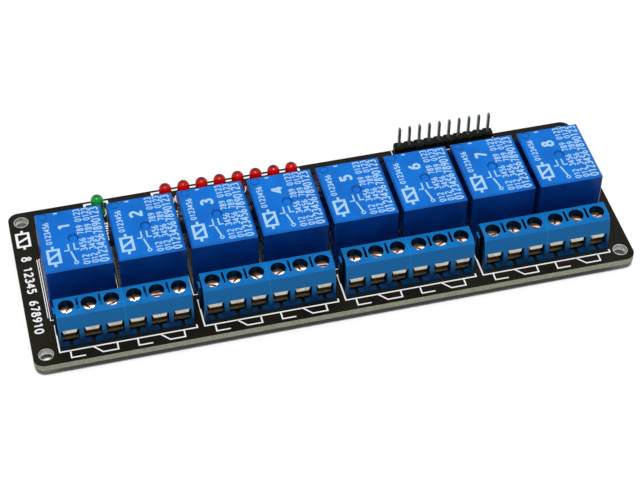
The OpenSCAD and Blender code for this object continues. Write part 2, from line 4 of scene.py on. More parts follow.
import bpy
import numpy as np
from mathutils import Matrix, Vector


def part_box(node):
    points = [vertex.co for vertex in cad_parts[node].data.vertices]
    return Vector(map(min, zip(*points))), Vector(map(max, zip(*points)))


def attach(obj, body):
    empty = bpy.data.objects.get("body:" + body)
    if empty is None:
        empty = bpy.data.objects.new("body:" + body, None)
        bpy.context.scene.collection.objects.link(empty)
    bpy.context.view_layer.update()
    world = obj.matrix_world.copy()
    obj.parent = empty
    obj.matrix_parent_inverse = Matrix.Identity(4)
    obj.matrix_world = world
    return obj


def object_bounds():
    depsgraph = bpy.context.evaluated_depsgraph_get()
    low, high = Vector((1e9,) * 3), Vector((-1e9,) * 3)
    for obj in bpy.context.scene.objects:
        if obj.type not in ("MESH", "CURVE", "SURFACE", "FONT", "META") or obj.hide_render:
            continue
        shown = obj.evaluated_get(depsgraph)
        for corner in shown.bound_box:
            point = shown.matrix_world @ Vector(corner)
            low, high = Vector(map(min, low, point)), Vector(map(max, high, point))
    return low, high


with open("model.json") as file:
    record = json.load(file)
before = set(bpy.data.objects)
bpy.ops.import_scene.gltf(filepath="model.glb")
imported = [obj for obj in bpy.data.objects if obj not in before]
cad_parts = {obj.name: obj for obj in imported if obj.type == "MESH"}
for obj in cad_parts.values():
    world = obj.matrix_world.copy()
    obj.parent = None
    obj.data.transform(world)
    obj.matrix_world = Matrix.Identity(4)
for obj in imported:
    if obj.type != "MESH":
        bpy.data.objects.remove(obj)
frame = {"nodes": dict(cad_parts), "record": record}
cad_lo, cad_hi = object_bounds()
MM = 0.001

# ---------------------------------------------------------------------------
# The table, the light and the camera. The board lies on its own pin tails on a
# plain white table, under a soft lamp above it and a little towards the viewer, in a pale room.
# ---------------------------------------------------------------------------
table_half = 3.0
table_drop = 0.02
table_white = (0.97, 0.97, 0.97, 1)
room_light = 0.2
lamp_light = 2.85
lamp_spread = math.radians(13)
lamp_turn = (math.radians(13.6), math.radians(-3.5), 0)
lens_mm = 101.368
camera_place = (-0.073535, -0.287984, 0.309431)
camera_turn = (43.8735, -0.3138, -14.0518)


def node(tree, kind, **given):
    """Adds one shader node. What is named after an input is set on it or linked to it, and the rest are
    settings."""
    made = tree.nodes.new("ShaderNode" + kind)
    for key, value in given.items():
        name = key.replace("_", " ")
        if name not in made.inputs:
            setattr(made, key, value)
        elif isinstance(value, bpy.types.NodeSocket):
            tree.links.new(value, made.inputs[name])
        else:
            made.inputs[name].default_value = value
    return made


def ramp(tree, value, start, end, low=0.0, high=1.0, kind="SMOOTHSTEP"):
    """Turns value from start..end into low..high, held at both ends and smooth between them."""
    return node(
        tree, "MapRange", interpolation_type=kind, Value=value,
        From_Min=start, From_Max=end, To_Min=low, To_Max=high,
    ).outputs[0]


def maths(tree, operation, first, second=0.0):
    """One sum on two numbers or sockets."""
    made = node(tree, "Math", operation=operation)
    for socket, value in zip(made.inputs, (first, second)):
        if isinstance(value, bpy.types.NodeSocket):
            tree.links.new(value, socket)
        else:
            socket.default_value = value
    return made.outputs[0]


def finish(name, **sockets):
    """A new material with its plain numbers and colours set on the shader's own sockets."""
    made = bpy.data.materials.new(name)
    made.use_nodes = True
    shader = made.node_tree.nodes["Principled BSDF"]
    for key, value in sockets.items():
        shader.inputs[key.replace("_", " ")].default_value = value
    return made, made.node_tree, shader


def grid_mesh(name, rows, columns, surface):
    """A sheet of rows by columns points: surface(u, v) gives the place for u and v running from 0 to 1."""
    u, v = np.meshgrid(np.linspace(0, 1, columns), np.linspace(0, 1, rows))
    places = np.stack(surface(u.ravel(), v.ravel()), axis=1)
    first = (np.arange(rows - 1)[:, None] * columns + np.arange(columns - 1)[None, :]).ravel()
    faces = np.stack([first, first + 1, first + columns + 1, first + columns], axis=1)
    mesh = bpy.data.meshes.new(name)
    mesh.from_pydata(places, [], faces)
    return mesh


world = bpy.data.worlds.new("pale_room")
bpy.context.scene.world = world
world.use_nodes = True
sky = world.node_tree
background = sky.nodes["Background"]
rays = node(sky, "LightPath")
seen = maths(
    sky, "MAXIMUM",
    maths(sky, "MAXIMUM", rays.outputs["Is Camera Ray"], rays.outputs["Is Glossy Ray"]),
    rays.outputs["Is Transmission Ray"],
)
sky.links.new(ramp(sky, seen, 0, 1, room_light, 1.0, "LINEAR"), background.inputs["Strength"])
background.inputs["Color"].default_value = (1, 1, 1, 1)

table_mesh = grid_mesh(
    "table", 9, 9,
    lambda u, v: ((2 * u - 1) * table_half, (2 * v - 1) * table_half, 0 * u + cad_lo.z - table_drop * MM),
)
table_top = bpy.data.objects.new("table", table_mesh)
bpy.context.scene.collection.objects.link(table_top)
white_table, tree, shader = finish(
    "white_table", Base_Color=table_white, Roughness=0.75, Specular_IOR_Level=0.2,
)
table_mesh.materials.append(white_table)

lamp = bpy.data.lights.new("soft_lamp", "SUN")
lamp.energy, lamp.angle = lamp_light, lamp_spread
lamp_object = bpy.data.objects.new("soft_lamp", lamp)
lamp_object.rotation_euler = lamp_turn
bpy.context.scene.collection.objects.link(lamp_object)

camera = bpy.data.cameras.new("camera")
camera.lens, camera.sensor_width = lens_mm, 36.0
camera.clip_start, camera.clip_end = 0.01, 20
camera_object = bpy.data.objects.new("camera", camera)
camera_object.location = camera_place
camera_object.rotation_euler = [math.radians(a) for a in camera_turn]
bpy.context.scene.collection.objects.link(camera_object)
bpy.context.scene.camera = camera_object
bpy.context.scene.view_settings.view_transform = "Standard"

# ---------------------------------------------------------------------------
# Circuit board. Glass cloth and epoxy, pressed flat, with a black mask printed
# over both faces. The cut edges show the bare cloth, layer on layer.
# ---------------------------------------------------------------------------
mask_black = (0.006, 0.0055, 0.0038, 1)
mask_warm = (0.012, 0.0105, 0.0065, 1)
cloth_pale = (0.36, 0.39, 0.29, 1)
cloth_deep = (0.19, 0.20, 0.14, 1)
mask_dusty = (0.035, 0.03, 0.024, 1)
mask_worn = (0.06, 0.055, 0.045, 1)
cloth_layer = 0.18


def effect(name, takes, gives):
    """An empty node group with number inputs and the outputs asked for."""
    made = bpy.data.node_groups.new(name, "ShaderNodeTree")
    for label, start in takes.items():
        made.interface.new_socket(label, in_out="INPUT", socket_type="NodeSocketFloat").default_value = start
    for label in gives:
        made.interface.new_socket(label, in_out="OUTPUT", socket_type="NodeSocketFloat")
    return made, made.nodes.new("NodeGroupInput"), made.nodes.new("NodeGroupOutput")


def use(tree, group, **given):
    """Puts a node group into a material."""
    made = tree.nodes.new("ShaderNodeGroup")
    made.node_tree = group
    for key, value in given.items():
        made.inputs[key.replace("_", " ")].default_value = value
    return made


def blend(tree, mask, low, high):
    """The colour low where mask is 0 and high where it is 1, straight between them."""
    mix = tree.nodes.new("ShaderNodeMix")
    mix.data_type = "RGBA"
    for socket, value in ((mix.inputs[0], mask), (mix.inputs[6], low), (mix.inputs[7], high)):
        if isinstance(value, bpy.types.NodeSocket):
            tree.links.new(value, socket)
        else:
            socket.default_value = value
    return mix.outputs[2]


def tinge(tree, body, mask, share, colour):
    """Lays a colour over another one, up to share of it, where mask is 1."""
    return blend(tree, maths(tree, "MULTIPLY", mask, share), body, colour)


def facing_up(tree):
    """How far a face looks up: 1 on tops, 0 on walls and -1 underneath."""
    return node(tree, "SeparateXYZ", Vector=node(tree, "TexCoord").outputs["Normal"]).outputs["Z"]


def place_on(tree):
    """The place on the object, split into X, Y and Z."""
    return node(tree, "SeparateXYZ", Vector=node(tree, "TexCoord").outputs["Object"])


def roughen(tree, shader, mask, start, end):
    """Roughness that is start where mask is 0 and end where it is 1."""
    tree.links.new(ramp(tree, mask, 0, 1, start, end, "LINEAR"), shader.inputs["Roughness"])


def pebbled(tree, shader, marks, strength, depth):
    """Raises the skin's pebble as a bump, by depth in metres."""
    bump = node(tree, "Bump", Strength=strength, Distance=depth, Height=marks.outputs["Pebble"])
    tree.links.new(bump.outputs["Normal"], shader.inputs["Normal"])


# Skin: the fine pebble of a mould or a cured coat, and broad soft drifts of tone over it.
skin, takes, gives = effect("skin", {"Pebble Scale": 6000.0, "Drift Scale": 90.0}, ["Pebble", "Drift"])
place = node(skin, "TexCoord").outputs["Object"]
pebble = node(skin, "TexNoise", Vector=place, Scale=takes.outputs["Pebble Scale"], Detail=3.0, Roughness=0.6)
drift = node(skin, "TexNoise", Vector=place, Scale=takes.outputs["Drift Scale"], Detail=4.0, Roughness=0.55)
skin.links.new(pebble.outputs["Fac"], gives.inputs["Pebble"])
skin.links.new(ramp(skin, drift.outputs["Fac"], 0.3, 0.7), gives.inputs["Drift"])

# Edge: 1 along convex edges and 0 on flats, from how far a rounded normal leans off the true one.
edge, takes, gives = effect("edge", {"Width": 0.0002, "Ragged Scale": 1500.0}, ["Edge"])
rounded = node(edge, "Bevel", samples=4, Radius=takes.outputs["Width"])
true = node(edge, "NewGeometry").outputs["Normal"]
lean = node(edge, "VectorMath", operation="DOT_PRODUCT")
edge.links.new(rounded.outputs["Normal"], lean.inputs[0])
edge.links.new(true, lean.inputs[1])
ragged = node(
    edge, "TexNoise", Vector=node(edge, "TexCoord").outputs["Object"], Scale=takes.outputs["Ragged Scale"],
    Detail=2.0,
)
edge.links.new(
    maths(
        edge, "MULTIPLY", ramp(edge, lean.outputs["Value"], 0.995, 0.8),
        ramp(edge, ragged.outputs["Fac"], 0.35, 0.6, 0.35, 1.0),
    ),
    gives.inputs["Edge"],
)

# Smear: where dust and handling have dulled a gloss, in soft patches with faint streaks.
smear, takes, gives = effect("smear", {"Patch Scale": 60.0}, ["Smear"])
place = node(smear, "TexCoord").outputs["Object"]
patch = node(smear, "TexNoise", Vector=place, Scale=takes.outputs["Patch Scale"], Detail=5.0, Roughness=0.65)
stretched = node(smear, "Mapping", Vector=place, Scale=(300.0, 2600.0, 900.0))
streak = node(smear, "TexNoise", Vector=stretched.outputs["Vector"], Scale=1.0, Detail=2.0)
smear.links.new(
    maths(
        smear, "MULTIPLY", ramp(smear, patch.outputs["Fac"], 0.42, 0.68),
        ramp(smear, streak.outputs["Fac"], 0.3, 0.7, 0.5, 1.0),
    ),
    gives.inputs["Smear"],
)

solder_mask, tree, shader = finish("solder_mask", IOR=1.5, Specular_IOR_Level=0.06)
marks = use(tree, skin, Pebble_Scale=3500.0, Drift_Scale=70.0)
dull = use(tree, smear, Patch_Scale=45.0)
edge_wear_and_highlight = use(tree, edge, Width=0.00012)
flat = ramp(tree, maths(tree, "ABSOLUTE", facing_up(tree)), 0.5, 0.7)
heights = place_on(tree).outputs["Z"]
layers = maths(tree, "SINE", maths(tree, "MULTIPLY", heights, 2 * math.pi / (cloth_layer * MM)))
cloth_fuzz = node(
    tree, "TexNoise", Vector=node(tree, "TexCoord").outputs["Object"], Scale=2600.0, Detail=3.0
).outputs["Fac"]
cloth = blend(
    tree, ramp(tree, maths(tree, "ADD", maths(tree, "MULTIPLY", layers, 0.18), cloth_fuzz), 0.25, 0.75),
    cloth_deep, cloth_pale,
)
coat = blend(tree, marks.outputs["Drift"], mask_black, mask_warm)
coat = tinge(tree, coat, dull.outputs["Smear"], 0.25, mask_dusty)
coat = tinge(tree, coat, edge_wear_and_highlight.outputs["Edge"], 0.35, mask_worn)
tree.links.new(blend(tree, flat, cloth, coat), shader.inputs["Base Color"])
gloss = ramp(tree, dull.outputs["Smear"], 0, 1, 0.33, 0.55, "LINEAR")
tree.links.new(
    node(tree, "Mix", data_type="FLOAT", Factor=flat, A=0.8, B=gloss).outputs[0], shader.inputs["Roughness"]
)
pebbled(tree, shader, marks, 0.25, 0.00002)


def dress(names, material):
    """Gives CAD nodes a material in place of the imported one."""
    for name in names:
        slots = frame["nodes"][name].data.materials
        slots.clear()
        slots.append(material)


dress(["circuit_board"], solder_mask)

# ---------------------------------------------------------------------------
# Copper. Etched tracks stand up a little under the mask on both faces, bare
# tinned rings show round the pins, and the four corner holes are plated through.
# ---------------------------------------------------------------------------
track_rise = 0.035
track_power = 2.6
track_signal = 0.5
ring_rise = 0.05
ring_past = 0.42
rim_wide = 0.1
plating = 0.04
hole_radius = frame["record"]["mounts"][0]["dims"]["hole_r_mm"]
hole_gaps = [frame["record"]["mounts"][0]["dims"][key] for key in ("spacing_x_mm", "spacing_y_mm")]
tin_bright = (0.74, 0.73, 0.68, 1)
tin_grey = (0.46, 0.455, 0.42, 1)
tin_worn = (0.8, 0.79, 0.76, 1)


def joined(name, solids):
    """One mesh from (points, faces) pairs, with their points given in millimetres."""
    points, faces, start = [], [], 0
    for places, corners in solids:
        points.append(np.asarray(places, float))
        faces += [[start + i for i in face] for face in corners]
        start += len(places)
    mesh = bpy.data.meshes.new(name)
    mesh.from_pydata(np.concatenate(points) * MM, [], faces)
    mesh.update()
    return mesh


def add_piece(name, mesh, material, smooth=False):
    """Puts a finished mesh into the scene as a piece that rides with the board."""
    mesh.materials.append(material)
    mesh.polygons.foreach_set("use_smooth", np.full(len(mesh.polygons), smooth))
    made = bpy.data.objects.new(name, mesh)
    bpy.context.scene.collection.objects.link(made)
    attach(made, "root")
    return made


def ribbon(path, width, foot, rise):
    """A flat bar along a path in the plane. Each point moves half the width to either side, along the line
    that halves its corner, stretched by one over the cosine of half the turn to keep the bar's width."""
    path = np.asarray(path, float)
    steps = np.diff(path, axis=0)
    steps /= np.linalg.norm(steps, axis=1)[:, None]
    before, after = np.vstack([steps[:1], steps]), np.vstack([steps, steps[-1:]])
    halving = before + after
    halving /= np.maximum(np.linalg.norm(halving, axis=1), 1e-6)[:, None]
    stretch = 1 / np.maximum((halving * after).sum(1), 0.35)
    side = np.stack([-halving[:, 1], halving[:, 0]], axis=1) * (width / 2 * stretch)[:, None]
    left, right = path + side, path - side
    low, high = np.full((len(path), 1), foot), np.full((len(path), 1), foot + rise)
    points = np.concatenate(
        [np.hstack([right, low]), np.hstack([right, high]), np.hstack([left, high]), np.hstack([left, low])]
    )
    n = len(path)
    first = np.arange(n - 1)
    faces = [
        list(face)
        for k in range(4)
        for face in np.stack(
            [k * n + first, k * n + first + 1, (k + 1) % 4 * n + first + 1, (k + 1) % 4 * n + first], 1
        )
    ]
    faces += [[0, n, 2 * n, 3 * n], [4 * n - 1, 3 * n - 1, 2 * n - 1, n - 1]]
    return points, faces


def turned(centre, profile, sides=28):
    """A closed ring: the (radius, height) points of profile, round its section, are carried round centre."""
    profile = np.asarray(profile, float)
    angle = np.linspace(0, 2 * math.pi, sides, endpoint=False)
    r, z = profile[:, 0], profile[:, 1]
    points = np.stack(
        [
            centre[0] + np.outer(np.cos(angle), r), centre[1] + np.outer(np.sin(angle), r),
            np.outer(np.ones(sides), z),
        ],
        axis=2,
    ).reshape(-1, 3)
    m = len(profile)
    i, j = (a.ravel() for a in np.meshgrid(np.arange(sides), np.arange(m), indexing="ij"))
    i2, j2 = (i + 1) % sides, (j + 1) % m
    return points, np.stack([i * m + j, i2 * m + j, i2 * m + j2, i * m + j2], 1).tolist()


def flat_ring(centre, inner, outer, foot, rise, sides=28):
    """A washer lying flat: the turned ring of a rectangle."""
    return turned(centre, [(inner, foot), (outer, foot), (outer, foot + rise), (inner, foot + rise)], sides)


def box_mm(name):
    """The two corners of a node, in millimetres."""
    return tuple(np.array(corner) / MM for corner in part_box(name))


def eight(name):
    """The names of the eight nodes of one kind."""
    return [f"{name}_{k}" for k in range(1, 9)]


def pins_of(name, reach, below=1e9):
    """Where a node's pins stand, in millimetres: its corners gathered into clusters no wider than reach."""
    mesh = frame["nodes"][name].data
    corners = np.empty(len(mesh.vertices) * 3)
    mesh.vertices.foreach_get("co", corners)
    corners = corners.reshape(-1, 3) / MM
    left = np.unique(corners[corners[:, 2] < below][:, :2].round(2), axis=0)
    found = []
    while len(left):
        near = np.linalg.norm(left - left[0], axis=1) < reach
        found.append((left[near].min(0) + left[near].max(0)) / 2)
        left = left[~near]
    return np.array(found)


board_lo, board_hi = box_mm("circuit_board")
left_edge, front_edge = board_lo[:2]
back_edge, top = board_hi[1:]
relay_boxes = [box_mm(name) for name in eight("relay")]
relay_pins = pins_of("relay_pins", 1.5)
header_pins = pins_of("header_pins", 1.2)
lamp_pins = pins_of("led_leads", 1.0)
terminal_pins = np.concatenate([pins_of(name, 1.6, below=0) for name in eight("terminal_contacts")])
relay_middles = [(lo[0] + hi[0]) / 2 for lo, hi in relay_boxes]
relay_back = relay_boxes[0][1][1]

tin, tree, shader = finish("tin", Metallic=1.0)
marks = use(tree, skin, Pebble_Scale=5200.0, Drift_Scale=420.0)
edge_wear_and_highlight = use(tree, edge, Width=0.0001)
body = blend(tree, marks.outputs["Drift"], tin_grey, tin_bright)
tree.links.new(tinge(tree, body, edge_wear_and_highlight.outputs["Edge"], 0.5, tin_worn), shader.inputs["Base Color"])
roughen(tree, shader, marks.outputs["Drift"], 0.42, 0.26)
pebbled(tree, shader, marks, 0.3, 0.00002)

# The rings round the header's and the lamps' pins on top, and round every pin underneath.
rings = [flat_ring(p, 0.47, 0.47 + ring_past, top, ring_rise) for p in header_pins]
rings += [flat_ring(p, 0.5, 0.5 + ring_past - 0.1, top, ring_rise) for p in lamp_pins]
for pins, radius in ((relay_pins, 1.05), (terminal_pins, 1.1), (header_pins, 0.92), (lamp_pins, 0.82)):
    rings += [flat_ring(p, radius - 0.1, radius + ring_past, -ring_rise, ring_rise) for p in pins]
add_piece("pin_rings", joined("pin_rings", rings), tin)

# The plated corner holes: a barrel with a narrow rim on both faces.
bore, rim = hole_radius - plating, hole_radius + rim_wide
rim_section = [
    (bore, -ring_rise), (rim, -ring_rise), (rim, 0), (hole_radius, 0),
    (hole_radius, top), (rim, top), (rim, top + ring_rise), (bore, top + ring_rise),
]
rims = [
    turned((sx * hole_gaps[0] / 2, sy * hole_gaps[1] / 2), rim_section, 48)
    for sx in (-1, 1) for sy in (-1, 1)
]
add_piece("hole_rims", joined("hole_rims", rims), tin)

# Tracks. On top a thin line runs from each of eight header pins to a driver, and another behind each relay.
# Underneath, broad ones join the relays to the terminals.
top_tracks = []
for k, x in enumerate(relay_middles):
    pin_x = header_pins[np.argsort(header_pins[:, 0])][k + 1][0]
    lane = relay_back + 3.1 + 0.75 * (k % 4)
    reach, turn_y = x + 4.6, back_edge - 2.9 - 0.28 * k
    top_tracks.append(
        ribbon([(pin_x, back_edge - 1.4), (pin_x, turn_y), (reach, turn_y), (reach, relay_back + 6.4)],
               track_signal, top, track_rise)
    )
    top_tracks.append(
        ribbon([(x - 2.2, relay_back + 1.7), (x - 4.4, relay_back + 1.7), (x - 4.4, lane), (x - 0.95, lane),
                (x - 0.95, relay_back + 4.0)], track_signal, top, track_rise)
    )

bottom_tracks = []
terminal_xs = np.sort(terminal_pins[:, 0])
terminal_y = terminal_pins[0][1]
coil_y, contact_y, common_y = (np.unique(relay_pins[:, 1].round(1))[i] for i in (1, 0, 2))
for k, x in enumerate(relay_middles):
    first = 3 * k
    for pole, goal in ((0, (x - 6, contact_y)), (1, (x, common_y)), (2, (x + 6, contact_y))):
        start = (terminal_xs[first + pole], terminal_y)
        bend = contact_y - 2.6 if pole != 1 else contact_y - 1.2
        bottom_tracks.append(
            ribbon([start, (start[0], terminal_y + 1.4), (goal[0], bend), goal],
                   track_power, -track_rise, track_rise)
        )
    bottom_tracks.append(
        ribbon([(x - 6, coil_y), (x - 6, relay_back + 1.2), (x - 2.4, relay_back + 3.6)],
               0.9, -track_rise, track_rise)
    )
    bottom_tracks.append(
        ribbon([(x + 6, coil_y), (x + 6, relay_back + 5.6)], 0.9, -track_rise, track_rise)
    )
bottom_tracks.append(
    ribbon([(relay_middles[0] + 6, relay_back + 5.6), (relay_middles[-1] + 6, relay_back + 5.6)],
           1.4, -track_rise, track_rise)
)
add_piece("tracks_top", joined("tracks_top", top_tracks), solder_mask)
add_piece("tracks_bottom", joined("tracks_bottom", bottom_tracks), solder_mask)

# ---------------------------------------------------------------------------
# Legend. White ink screened on the mask: outlines of the parts, the contact
# symbol in front of each set of three terminals, and plain numbers.
# ---------------------------------------------------------------------------
ink_rise = 0.03
ink_step = 0.002
line_wide = 0.34
digit_wide = 0.62
symbol_back = 3.2
symbol_front = 1.1
block_past = 2.95
relay_past = 0.3
lamp_ring = 2.05
lamp_line = 0.55
coil_wide = 0.6
pin_pitch = 2.54
ink_white = (0.86, 0.87, 0.88, 1)
ink_thin = (0.50, 0.51, 0.52, 1)


def arc(x, y, rx, ry, start, end, count=9):
    """Points on an ellipse round (x, y) from one angle to another, in degrees."""
    turn = np.radians(np.linspace(start, end, count))
    return np.stack([x + rx * np.cos(turn), y + ry * np.sin(turn)], axis=1)


# Each figure is drawn with one or two pen strokes in a space 0.6 wide and 1 high.
# A stroke ends where the pen would turn back on itself.
pen = {
    "0": [arc(0.3, 0.5, 0.27, 0.47, 90, 449, 17)],
    "1": [np.array([(0.34, 0.98), (0.34, 0.03)]), np.array([(0.1, 0.8), (0.33, 0.95)])],
    "2": [
        np.vstack([arc(0.3, 0.72, 0.26, 0.25, 165, -35), [(0.08, 0.09)]]),
        np.array([(0.0, 0.05), (0.6, 0.05)]),
    ],
    "3": [arc(0.28, 0.75, 0.24, 0.22, 150, -90), arc(0.28, 0.29, 0.28, 0.25, 90, -150)],
    "4": [np.array([(0.44, 0.03), (0.44, 0.97)]), np.array([(0.38, 0.9), (0.03, 0.32), (0.62, 0.32)])],
    "5": [np.array([(0.55, 0.96), (0.13, 0.96), (0.1, 0.6)]), arc(0.28, 0.33, 0.28, 0.29, 130, -140)],
    "6": [arc(0.3, 0.28, 0.25, 0.25, 90, 449, 13), arc(0.62, 0.36, 0.56, 0.62, 172, 110, 6)],
    "7": [np.array([(0.02, 0.96), (0.58, 0.96)]), np.array([(0.55, 0.92), (0.22, 0.03)])],
    "8": [arc(0.3, 0.77, 0.19, 0.19, -90, 269, 13), arc(0.3, 0.27, 0.26, 0.24, 90, 449, 13)],
    "9": [arc(0.3, 0.72, 0.25, 0.25, 90, 449, 13), arc(-0.02, 0.64, 0.56, 0.62, -8, -70, 6)],
}


def figures(text, start, along, up, size, weight, foot, rise, advance=None):
    """Draws figures from start: along is the reading direction, up the direction of their tops, size their
    height, and advance the step from one figure to the next, to which the figures' width is fitted."""
    along, up, start = np.array(along, float), np.array(up, float), np.array(start, float)
    advance = advance or size * 0.82
    wide = advance / (digit_wide + 0.2)
    bars = []
    for i, sign in enumerate(text):
        for stroke in pen.get(sign, []):
            path = start + (stroke[:, :1] * wide + i * advance) * along + size * stroke[:, 1:] * up
            if along[0] * up[1] - along[1] * up[0] < 0:
                path = path[::-1]
            bars.append(ribbon(path, weight, foot, rise))
    return bars


def layered(bars):
    """Lifts each bar of ink by one of a few hairs, in turn, so that no two that cross share a top."""
    for i, (points, faces) in enumerate(bars):
        points[:, 2] += np.where(points[:, 2] > points[:, 2].mean(), i % 4 * ink_step, 0)
    return bars


def outline(x0, y0, x1, y1, weight, foot, rise):
    """The four sides of a box, drawn as one bar that starts and ends in the middle of a side."""
    middle = (x0 + x1) / 2
    path = [(middle, y0), (x1, y0), (x1, y1), (x0, y1), (x0, y0), (middle, y0)]
    return ribbon(path, weight, foot, rise)


ink = []
# contact symbols: a lead from the first terminal, and the moving blade between the next two
line, low = front_edge + symbol_back, front_edge + symbol_front
for first in terminal_xs[::3]:
    lead, blade, far = first - 0.58, first + 4.6, first + 10.0
    ink.append(ribbon([(lead, line), (lead, low), (first + 2.6, low)], line_wide, top, ink_rise))
    ink.append(
        ribbon([(blade, line), (blade + 1.9, low + 0.05), (far, low + 0.05), (far, line)],
               line_wide, top, ink_rise)
    )
for first, last in zip(terminal_xs[::6], terminal_xs[5::6]):
    x0, x1 = first - block_past, last + block_past
    ink.append(
        ribbon([(x0, front_edge + 11.5), (x0, line), (x1, line), (x1, front_edge + 4.1)],
               line_wide, top, ink_rise)
    )
# outlines of the relays show in the gaps between them
for lo, hi in relay_boxes:
    ink.append(outline(*(lo[:2] - relay_past), *(hi[:2] + relay_past), 0.2, top, ink_rise))
first_relay = relay_boxes[0][0]
ink.append(
    ribbon([(first_relay[0] - 0.75, relay_back + 0.3), (first_relay[0] - 0.75, first_relay[1] + 0.6)],
           0.2, top, ink_rise)
)
# arcs at both sides of each lamp, with its number and the outline of its resistor
lamp_boxes = [box_mm(name) for name in ["green_led"] + eight("red_led")]
for k, (lo, hi) in enumerate(lamp_boxes):
    middle = ((lo[0] + hi[0]) / 2, (lo[1] + hi[1]) / 2)
    ink.append(ribbon(arc(*middle, lamp_ring, lamp_ring, -50, 50), 0.22, top, ink_rise))
    ink.append(ribbon(arc(*middle, lamp_ring, lamp_ring, 130, 230), 0.22, top, ink_rise))
    ink += figures(str(k), (middle[0] - 0.35, relay_back + 9.6), (1, 0), (0, 1), 1.0, 0.2, top, ink_rise)
    ink.append(outline(middle[0] - 0.95, relay_back + 7.1, middle[0] + 0.95, relay_back + 9.4,
                       0.16, top, ink_rise))
# a bold line behind the green lamp and another behind the red ones, both turned forwards at their ends
for first, last in ((0, 0), (1, 8)):
    x0, x1 = lamp_boxes[first][0][0] - 1.0, lamp_boxes[last][1][0] + 1.0
    side, line = lamp_boxes[first][0][1], back_edge - 0.95
    ink.append(ribbon([(x0, side), (x0, line), (x1, line), (x1, side)], lamp_line, top, ink_rise))
# outlines of the diode, the transistor and the resistor behind each relay, and then of the header
for k, x in enumerate(relay_middles):
    ink.append(outline(x - 2.2, relay_back + 0.6, x + 2.2, relay_back + 2.75, 0.18, top, ink_rise))
    ink.append(ribbon([(x - 1.3, relay_back + 0.6), (x - 1.3, relay_back + 2.75)], 0.3, top, ink_rise))
    ink.append(outline(x - 1.95, relay_back + 3.75, x + 1.95, relay_back + 6.65, 0.18, top, ink_rise))
    ink.append(outline(x + 3.75, relay_back + 3.9, x + 5.45, relay_back + 6.5, 0.18, top, ink_rise))
    ink += figures(str(k + 1), (x + 6.1, relay_back + 4.6), (1, 0), (0, 1), 1.3, 0.24, top, ink_rise)
head_lo, head_hi = box_mm("header_body")
ink.append(
    ribbon([(head_hi[0] + 0.35, head_hi[1]), (head_hi[0] + 0.35, head_lo[1] - 0.35),
            (head_lo[0] - 0.35, head_lo[1] - 0.35), (head_lo[0] - 0.35, head_hi[1])], 0.2, top, ink_rise)
)
for k in range(10):
    pin_x = head_lo[0] + (k + 0.5) * pin_pitch
    ink += figures(str(k), (pin_x - 0.3, head_lo[1] - 1.75), (1, 0), (0, 1), 1.0, 0.2, top, ink_rise)
# the strip at the left end: runs of plain numbers
strip_x = left_edge + 1.5
ink += figures("8", (strip_x, 9.6), (0, -1), (1, 0), 2.2, 0.42, top, ink_rise, 1.75)
ink += figures("12345", (strip_x, 6.2), (0, -1), (1, 0), 2.0, 0.42, top, ink_rise, 1.75)
ink += figures("678910", (strip_x, -4.6), (0, -1), (1, 0), 2.0, 0.42, top, ink_rise, 1.75)
# plain numbers behind the first two gaps between relays, read from behind the relays outwards
for k, past in ((0, 1.9), (1, 2.6)):
    gap_x = (relay_boxes[k][1][0] + relay_boxes[k + 1][0][0]) / 2
    start = (gap_x + past, relay_back + 2.6)
    ink += figures("0123456", start, (0, 1), (-1, 0), 1.4, 0.26, top, ink_rise, 0.9)
# the coil symbol of the strip: a box, its slash and its two leads
coil_x = left_edge + 2.7
ink.append(outline(coil_x - 1.4, 13.2, coil_x + 1.4, 17.4, coil_wide, top, ink_rise))
ink.append(ribbon([(coil_x - 1.3, 14.6), (coil_x + 1.3, 16.0)], coil_wide, top, ink_rise))
ink.append(ribbon([(coil_x, 12.2), (coil_x, 13.0)], coil_wide, top, ink_rise))
ink.append(ribbon([(coil_x, 17.6), (coil_x, 18.4)], coil_wide, top, ink_rise))

legend_ink, tree, shader = finish("legend_ink")
marks = use(tree, skin, Pebble_Scale=5000.0, Drift_Scale=900.0)
thin = ramp(tree, marks.outputs["Pebble"], 0.52, 0.72)
tree.links.new(tinge(tree, ink_white, thin, 0.6, ink_thin), shader.inputs["Base Color"])
roughen(tree, shader, marks.outputs["Drift"], 0.42, 0.62)
pebbled(tree, shader, marks, 0.3, 0.00002)
add_piece("legend", joined("legend", layered(ink)), legend_ink)

# ---------------------------------------------------------------------------
# Relays. A glossy blue moulded case with a frosted top, sealed over its base
# with resin. The print on top is pale ink: plain figures and two circuit symbols.
# ---------------------------------------------------------------------------
# the top colours are the lit copy and the side colours the shaded copy of one blue: painted light and shade
case_top_lit = (0.004, 0.165, 0.64, 1)
case_top_lit_deep = (0.003, 0.125, 0.52, 1)
case_side_shade = (0.0015, 0.038, 0.22, 1)
case_side_shade_deep = (0.001, 0.024, 0.155, 1)
case_edge = (0.02, 0.25, 0.80, 1)
ejector_at = (1.9, 1.6)
ejector_ring = 1.0
gate_at = tuple((relay_boxes[0][1] - relay_boxes[0][0])[:2] / 2)
gate_ring = 1.1
print_rise = 0.006
print_pale = (0.38, 0.62, 0.90, 1)
print_faint = (0.12, 0.34, 0.80, 1)

relay_case, tree, shader = finish("relay_case", IOR=1.55, Specular_IOR_Level=0.11)
marks = use(tree, skin, Pebble_Scale=8000.0, Drift_Scale=130.0)
dull = use(tree, smear, Patch_Scale=110.0)
edge_wear_and_highlight = use(tree, edge, Width=0.00022)
# the paler top and darker sides are painted light and shade; the mask also sets the frosted top's real
# roughness below
frosted_and_lit_top = ramp(tree, facing_up(tree), 0.45, 0.85)
upper = blend(tree, marks.outputs["Drift"], case_top_lit, case_top_lit_deep)
upper = tinge(tree, upper, dull.outputs["Smear"], 0.18, case_edge)
lower = blend(tree, marks.outputs["Drift"], case_side_shade, case_side_shade_deep)
body = blend(tree, frosted_and_lit_top, lower, upper)
